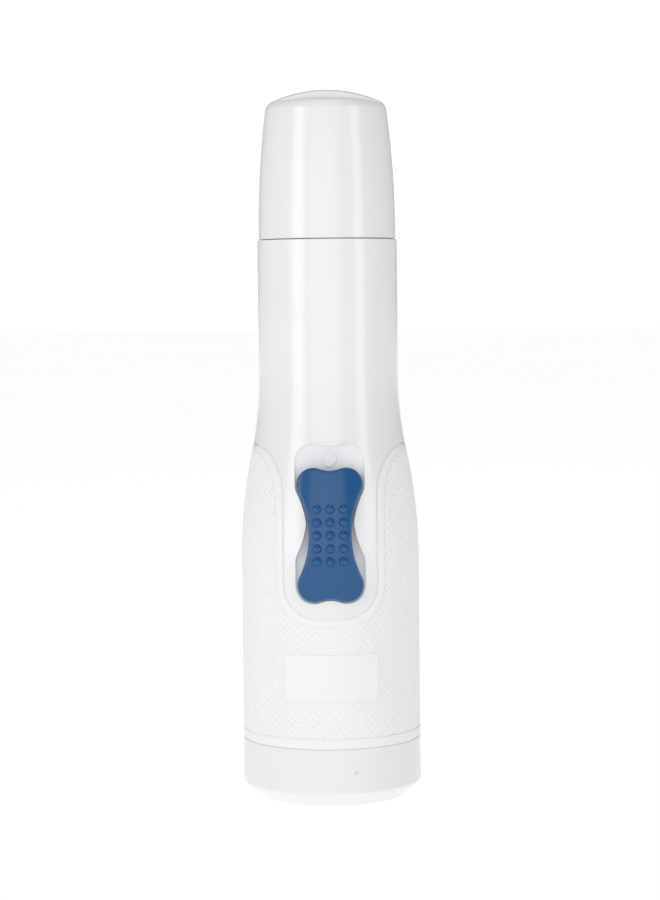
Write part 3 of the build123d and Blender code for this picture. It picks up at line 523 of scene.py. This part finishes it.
class Finish(Nodes):
    """A surface finish made of nodes, read from the object's own coordinates."""

    def __init__(self, name, **constants):
        self.material = bpy.data.materials.new(name)
        super().__init__(self.material)
        self.shader = self.tree.nodes["Principled BSDF"]
        self.fill(self.shader, constants)
        self.place = self.node("ShaderNodeTexCoord", {}, {}, "Object")

    def noise(self, size, detail=2.0, stretch=(1, 1, 1)):
        """Soft noise with features of about a size, stretched along the axes."""
        scaled = self.node("ShaderNodeVectorMath", {"operation": "DIVIDE"}, {0: self.place, 1: stretch})
        return self.node("ShaderNodeTexNoise", {}, {"Vector": scaled, "Scale": 1 / size, "Detail": detail})

    def cells(self, size, output="Color"):
        """Pebbles of about a size, each with its own random colour."""
        return self.node("ShaderNodeTexVoronoi", {}, {"Vector": self.place, "Scale": 1 / size}, output)

    def ramp(self, value, low, high):
        """Fades from 0 at low to 1 at high."""
        return self.node("ShaderNodeMapRange", {"interpolation_type": "SMOOTHSTEP"},
                         {"Value": value, "From Min": low, "From Max": high})

    def axis(self, letter):
        """One of the piece's coordinates."""
        return self.node("ShaderNodeSeparateXYZ", {}, {0: self.place}, letter)

    def tint(self, factor, first, second):
        """Blend of two colours; sockets 6 and 7 and output 2 are the Mix node's colours."""
        colours = {6: self.rgba(first), 7: self.rgba(second)}
        return self.node("ShaderNodeMix", {"data_type": "RGBA"}, {0: factor, **colours}, 2)

    @staticmethod
    def rgba(colour):
        """A colour as a socket takes it."""
        return colour if isinstance(colour, Wire) else (*colour, 1.0)

    def relief(self, height, depth):
        """Surface relief of a depth in metres."""
        bump = self.node("ShaderNodeBump", {}, {"Height": height, "Distance": depth}, "Normal")
        self.fill(self.shader, {"Normal": bump})

    def surface(self, colour, roughness, **others):
        """Wires the varying colour and roughness, and hands over the material."""
        self.fill(self.shader, {"Base Color": colour, "Roughness": roughness, **others})
        return self.material


WHITE = (0.85, 0.853, 0.865)
# The grip's satin white is lighter than the shell's: partly its own plastic, partly painted light for the
# brighter lower body and the shade in the knurl's grooves.
GRIP_WHITE_PAINTED_LIGHTER = (0.895, 0.897, 0.906)
BLUE = (0.006, 0.086, 0.245)
DOT_PITCH = 3.43 * MM  # between the button's dots, both ways
DOT_COLUMNS = 3
DOT_ROWS = 5
DOT_LIFT = 0.15 * MM  # the middle dot is this far above the switch's middle
DOT_INSIDE = 1.1 * MM  # fully polished up to here from a dot's middle
DOT_OUTSIDE = 1.3 * MM  # and not at all from here on
GRIT_CELL = 0.22 * MM
SHEET = 0.5 * MM  # one motor sheet's thickness
STRAND = 0.34 * MM  # one turn of wire, across


def shade_of(colour, factor):
    """A colour made darker or lighter."""
    return tuple(min(1.0, part * factor) for part in colour)


def moulded(name, colour, gloss, waviness=0.004 * MM, grain=0.0015 * MM, grain_size=0.25 * MM):
    """Injection-moulded plastic: a faint waviness, a fine grain and uneven gloss."""
    finish = Finish(name, IOR=1.5)
    wave = finish.noise(9 * MM, 2)
    fine = finish.noise(grain_size, 3)
    smudge = finish.ramp(finish.noise(14 * MM, 4), 0.45, 0.75)
    finish.relief(wave * (waviness / grain) + fine, grain)
    colour = finish.tint(wave, shade_of(colour, 0.985), shade_of(colour, 1.01))
    return finish.surface(colour, gloss + 0.05 * smudge + 0.04 * fine)


def blue_button():
    """Satin blue plastic, polished by the thumb on its 3 x 5 domed dots."""
    finish = Finish("blue_button", IOR=1.5)
    across = finish.axis("X")
    along = finish.axis("Z") - SWITCH_HEIGHT - DOT_LIFT
    aside = across.maths("PINGPONG", DOT_PITCH / 2)
    above = along.maths("PINGPONG", DOT_PITCH / 2)
    away = (aside * aside + above * above).maths("SQRT")
    in_columns = across.maths("ABSOLUTE") < DOT_COLUMNS / 2 * DOT_PITCH
    in_rows = along.maths("ABSOLUTE") < DOT_ROWS / 2 * DOT_PITCH
    polished = in_columns * in_rows * (1 - finish.ramp(away, DOT_INSIDE, DOT_OUTSIDE))
    wave = finish.noise(9 * MM, 2)
    fine = finish.noise(0.15 * MM, 3)
    finish.relief(wave * 2 + fine, 0.002 * MM)
    colour = finish.tint(wave, shade_of(BLUE, 0.97), shade_of(BLUE, 1.02))
    return finish.surface(colour, 0.16 + 0.04 * fine - 0.12 * polished)


def worked_metal(name, colour, gloss, stretch=(1, 1, 1), size=0.2 * MM, dulling=0.25):
    """Bare metal with fine tool marks drawn out along an axis, and dull patches."""
    finish = Finish(name, Metallic=1.0)
    marks = finish.noise(size, 3, stretch)
    patch = finish.ramp(finish.noise(5 * MM, 4), 0.4, 0.7)
    finish.relief(marks, 0.004 * MM)
    colour = finish.tint(patch, colour, shade_of(colour, 1 - dulling))
    return finish.surface(colour, gloss + 0.18 * patch + 0.1 * marks)


def soft_rubber():
    """Black rubber with a grey bloom."""
    finish = Finish("soft_rubber", IOR=1.52)
    bloom = finish.ramp(finish.noise(6 * MM, 5), 0.4, 0.8)
    fine = finish.noise(0.12 * MM, 3)
    finish.relief(fine, 0.01 * MM)
    black = finish.tint(bloom, (0.022, 0.022, 0.024), (0.055, 0.054, 0.052))
    return finish.surface(black, 0.62 + 0.2 * fine)


def wool_felt():
    """Pressed wool: fibres that lie flat, in clumps."""
    finish = Finish("wool_felt")
    fibres = finish.noise(0.12 * MM, 6, (1, 1, 0.35))
    clumps = finish.noise(0.9 * MM, 3)
    finish.relief(fibres + 0.6 * clumps, 0.12 * MM)
    return finish.surface(finish.tint(fibres, (0.42, 0.40, 0.36), (0.74, 0.72, 0.67)), 0.9 + 0.05 * clumps)


def sanding_grit():
    """Reddish-brown abrasive: single grains in different tones in darker glue."""
    finish = Finish("sanding_grit", IOR=1.7)
    grain = finish.cells(GRIT_CELL)
    tone = finish.node("ShaderNodeSeparateColor", {}, {0: grain}, 0)
    edge = finish.cells(GRIT_CELL, "Distance")
    worn = finish.ramp(finish.noise(3 * MM, 3), 0.5, 0.75)
    finish.relief(1 - edge, 0.12 * MM)
    grit = finish.tint(tone, (0.16, 0.062, 0.035), (0.46, 0.25, 0.16))
    dusty = finish.tint(worn * 0.45, grit, (0.62, 0.55, 0.47))
    return finish.surface(dusty, 0.55 + 0.35 * tone)


def ferrite():
    """Dark pressed magnet with small pits."""
    finish = Finish("ferrite", Metallic=0.3)
    fine = finish.noise(0.15 * MM, 5)
    pits = finish.ramp(finish.noise(0.8 * MM, 2), 0.3, 0.5)
    finish.relief(fine + pits, 0.02 * MM)
    return finish.surface(finish.tint(fine, (0.05, 0.05, 0.055), (0.12, 0.12, 0.13)), 0.5 + 0.2 * fine)


def stacked_sheet():
    """Motor steel: thin punched sheets one on another, with dark joints."""
    finish = Finish("stacked_sheet", Metallic=1.0)
    height = finish.axis("Z") * (1 / SHEET)
    joint = finish.ramp(height.maths("PINGPONG", 0.5), 0.0, 0.09)
    fine = finish.noise(0.1 * MM, 3)
    finish.relief(joint, 0.03 * MM)
    sheet = finish.tint(fine, (0.30, 0.30, 0.31), (0.46, 0.46, 0.47))
    return finish.surface(finish.tint(joint, (0.06, 0.055, 0.05), sheet), 0.35 + 0.25 * fine)


def wound_wire():
    """Enamelled copper wire: fine strands that run lengthways, with painted shade in the grooves between
    them.
    """
    finish = Finish("wound_wire", Metallic=0.85)
    across = finish.axis("X") + finish.axis("Y") + 0.15 * finish.axis("Z")
    strand = across * (1 / STRAND)
    hill = strand.maths("PINGPONG", 0.5)
    uneven = finish.noise(1.5 * MM, 2)
    finish.relief(hill, 0.1 * MM)
    copper = finish.tint(uneven, (0.40, 0.13, 0.045), (0.62, 0.26, 0.11))
    # The darker copper along the strands' edges is painted shade in the grooves between the wires.
    wound = finish.tint(finish.ramp(hill, 0, 0.2), (0.1, 0.03, 0.012), copper)
    return finish.surface(wound, 0.28 + 0.2 * uneven)


def cell_jacket(node):
    """Plain dark film round a cell, with bare steel at both ends and a pale band below the top."""
    foot, top = foot_of(node), top_of(node)
    finish = Finish(node + "_jacket")
    height = finish.axis("Z")
    steel = (height > top - 3.2 * MM) + (height < foot + 0.35 * MM)
    band = (height > top - 13 * MM) * (height < top - 6.5 * MM)
    scuff = finish.ramp(finish.noise(2.5 * MM, 6, (1, 1, 4)), 0.55, 0.8)
    film = finish.tint(band, (0.035, 0.04, 0.05), (0.48, 0.47, 0.44))
    film = finish.tint(scuff * 0.25, film, (0.3, 0.3, 0.3))
    finish.relief(scuff, 0.004 * MM)
    return finish.surface(finish.tint(steel, film, (0.55, 0.55, 0.56)), 0.3 + 0.15 * scuff, Metallic=steel)


def ceramic_dip():
    """The capacitor's dipped brown coat."""
    finish = Finish("ceramic_dip", IOR=1.55)
    blotch = finish.noise(1.2 * MM, 3)
    finish.relief(blotch, 0.05 * MM)
    return finish.surface(finish.tint(blotch, (0.42, 0.17, 0.03), (0.6, 0.28, 0.06)), 0.3 + 0.15 * blotch)


def fit_finishes():
    """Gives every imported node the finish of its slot, or its own where it has a special one."""
    white = moulded("white_shell", WHITE, 0.17)
    slots = {
        "white_plastic": white,
        # the grip's white is lighter than the shell's, partly as painted light
        "grip_plastic": moulded("satin_grip", GRIP_WHITE_PAINTED_LIGHTER, 0.34, grain=0.003 * MM, grain_size=0.12 * MM),
        "blue_plastic": blue_button(),
        "grey_plastic": moulded("grey_nylon", (0.36, 0.37, 0.39), 0.42, grain=0.003 * MM),
        "black_plastic": moulded("black_moulding", (0.03, 0.03, 0.033), 0.4, grain=0.004 * MM),
        "steel": worked_metal("plated_steel", (0.62, 0.62, 0.63), 0.22, (1, 1, 0.2)),
        "copper": worked_metal("spring_bronze", (0.66, 0.36, 0.2), 0.25, (1, 1, 6)),
        "brass": worked_metal("turned_brass", (0.7, 0.5, 0.2), 0.2, (1, 1, 0.15)),
        "rubber": soft_rubber(),
        "felt": wool_felt(),
        "abrasive": sanding_grit(),
        "magnet": ferrite(),
        "lamination": stacked_sheet(),
        "ceramic": ceramic_dip(),
        "red_insulation": moulded("red_wire_skin", (0.5, 0.025, 0.02), 0.4, grain=0.004 * MM),
        "black_insulation": moulded("black_wire_skin", (0.02, 0.02, 0.02), 0.4, grain=0.004 * MM),
    }
    own = {
        "armature_windings": wound_wire(),
        "battery_lower": cell_jacket("battery_lower"),
        "battery_upper": cell_jacket("battery_upper"),
    }
    for part in frame["record"]["subparts"]:
        node = frame["nodes"][part["node"]]
        node.data.materials.clear()
        node.data.materials.append(own.get(part["node"]) or slots[part["material_slot"]])
    return slots


def fit_pieces(slots):
    """Puts the new pieces on their bodies, for the nodes they stand for."""
    sleeve, knurl = grip_sleeve(), grip_knurl()
    band = sanding_sleeve()
    marks = [off_mark(), on_mark()]
    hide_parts("grip_sleeve")
    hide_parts("sanding_band")
    for pieces, body, slot in (
        ([sleeve, knurl], "housing", "grip_plastic"),
        (marks, "housing", "white_plastic"),
        ([band], "spindle", "abrasive"),
    ):
        for piece in pieces:
            piece.data.materials.clear()
            piece.data.materials.append(slots[slot])
            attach(piece, body)


# ---------------------------------------------------------------- floor, light and camera

CAMERA_DISTANCE = 663 * MM
CAMERA_PITCH = radians(3.7)
CAMERA_ROLL = radians(-0.6)
LENS = 98.0
AIM = (0.2 * MM, 0, 93.35 * MM)  # the point at the middle of the picture
ROOM_LIGHT = (0.43, 0.33)  # from the left and from the right
ROOM_SHOWN = 1.05  # the room as the camera sees it
FLOOR_RADIUS = 8.0
FLOOR_RING = 4.0
FLOOR_GLOW = 0.92


def stage_floor():
    """Plain white floor that glows a little, so that only a faint shadow stays on it."""
    clear()
    bpy.ops.mesh.primitive_circle_add(vertices=96, radius=FLOOR_RADIUS, fill_type="NGON")
    piece = named("floor")
    edit(piece, "FACE")
    bpy.ops.mesh.inset(thickness=FLOOR_RING)
    bpy.ops.object.mode_set(mode="OBJECT")
    white = Finish("studio_floor", **{"Specular IOR Level": 0.0, "Emission Strength": FLOOR_GLOW})
    cloud = white.noise(0.8, 2)
    white.fill(white.shader, {"Emission Color": (1, 1, 1, 1)})
    paper = white.tint(cloud, (0.14, 0.14, 0.14), (0.16, 0.16, 0.16))
    piece.data.materials.append(white.surface(paper, 0.9 + 0.05 * cloud))


def room_light():
    """White room, brighter on the left, that lights less than it shows."""
    world = bpy.data.worlds.new("room")
    bpy.context.scene.world = world
    room = Nodes(world)
    left, right = ROOM_LIGHT
    way = room.node("ShaderNodeTexCoord", {}, {}, "Generated")
    side = room.node("ShaderNodeSeparateXYZ", {}, {0: way}, "X")
    light = {"Value": side, "From Min": -1, "To Min": left, "To Max": right}
    ray = room.node("ShaderNodeLightPath", {}, {}, "Is Camera Ray")
    shown = {"Value": ray, "To Min": room.node("ShaderNodeMapRange", {}, light), "To Max": ROOM_SHOWN}
    strength = room.node("ShaderNodeMapRange", {}, shown)
    room.fill(room.tree.nodes["Background"], {"Color": (1, 1, 1, 1), "Strength": strength})


def soft_box(name, azimuth, height, distance, size, power):
    """Upright rectangular light round the tool, turned to its middle; 0 is the switch's side."""
    lamp = bpy.data.lights.new(name, "AREA")
    lamp.shape = "RECTANGLE"
    lamp.size, lamp.size_y = size
    lamp.energy = power
    box = bpy.data.objects.new(name, lamp)
    bpy.context.scene.collection.objects.link(box)
    box.location = (distance * sin(radians(azimuth)), -distance * cos(radians(azimuth)), height)
    box.rotation_euler = (Vector(AIM) - box.location).to_track_quat("-Z", "Y").to_euler()


def set_up_lights():
    """A strip on each side, and panels in front, above and behind."""
    soft_box("left_strip", azimuth=-50, height=0.15, distance=0.9, size=(0.32, 0.8), power=2.5)
    soft_box("right_strip", azimuth=54, height=0.15, distance=1.0, size=(0.28, 0.8), power=1.9)
    soft_box("front_panel", azimuth=-4, height=0.12, distance=1.2, size=(1.0, 0.8), power=2.6)
    soft_box("top_panel", azimuth=0, height=1.3, distance=0.35, size=(0.8, 0.8), power=2.0)
    soft_box("back_panel", azimuth=176, height=0.95, distance=1.2, size=(0.9, 0.6), power=1.6)


def set_up_camera():
    """Camera in front of the switch, tipped down and rolled a little."""
    camera = bpy.data.cameras.new("camera")
    camera.lens = LENS
    camera.sensor_width = 36.0
    camera.sensor_fit = "AUTO"
    viewer = bpy.data.objects.new("camera", camera)
    bpy.context.scene.collection.objects.link(viewer)
    back = Vector((0, -cos(CAMERA_PITCH), sin(CAMERA_PITCH))) * CAMERA_DISTANCE
    turn = Matrix.Rotation(pi / 2 - CAMERA_PITCH, 4, "X") @ Matrix.Rotation(CAMERA_ROLL, 4, "Z")
    viewer.matrix_world = Matrix.Translation(Vector(AIM) + back) @ turn
    bpy.context.scene.camera = viewer
    bpy.context.scene.view_settings.view_transform = "Standard"


fit_pieces(fit_finishes())
stage_floor()
room_light()
set_up_lights()
set_up_camera()
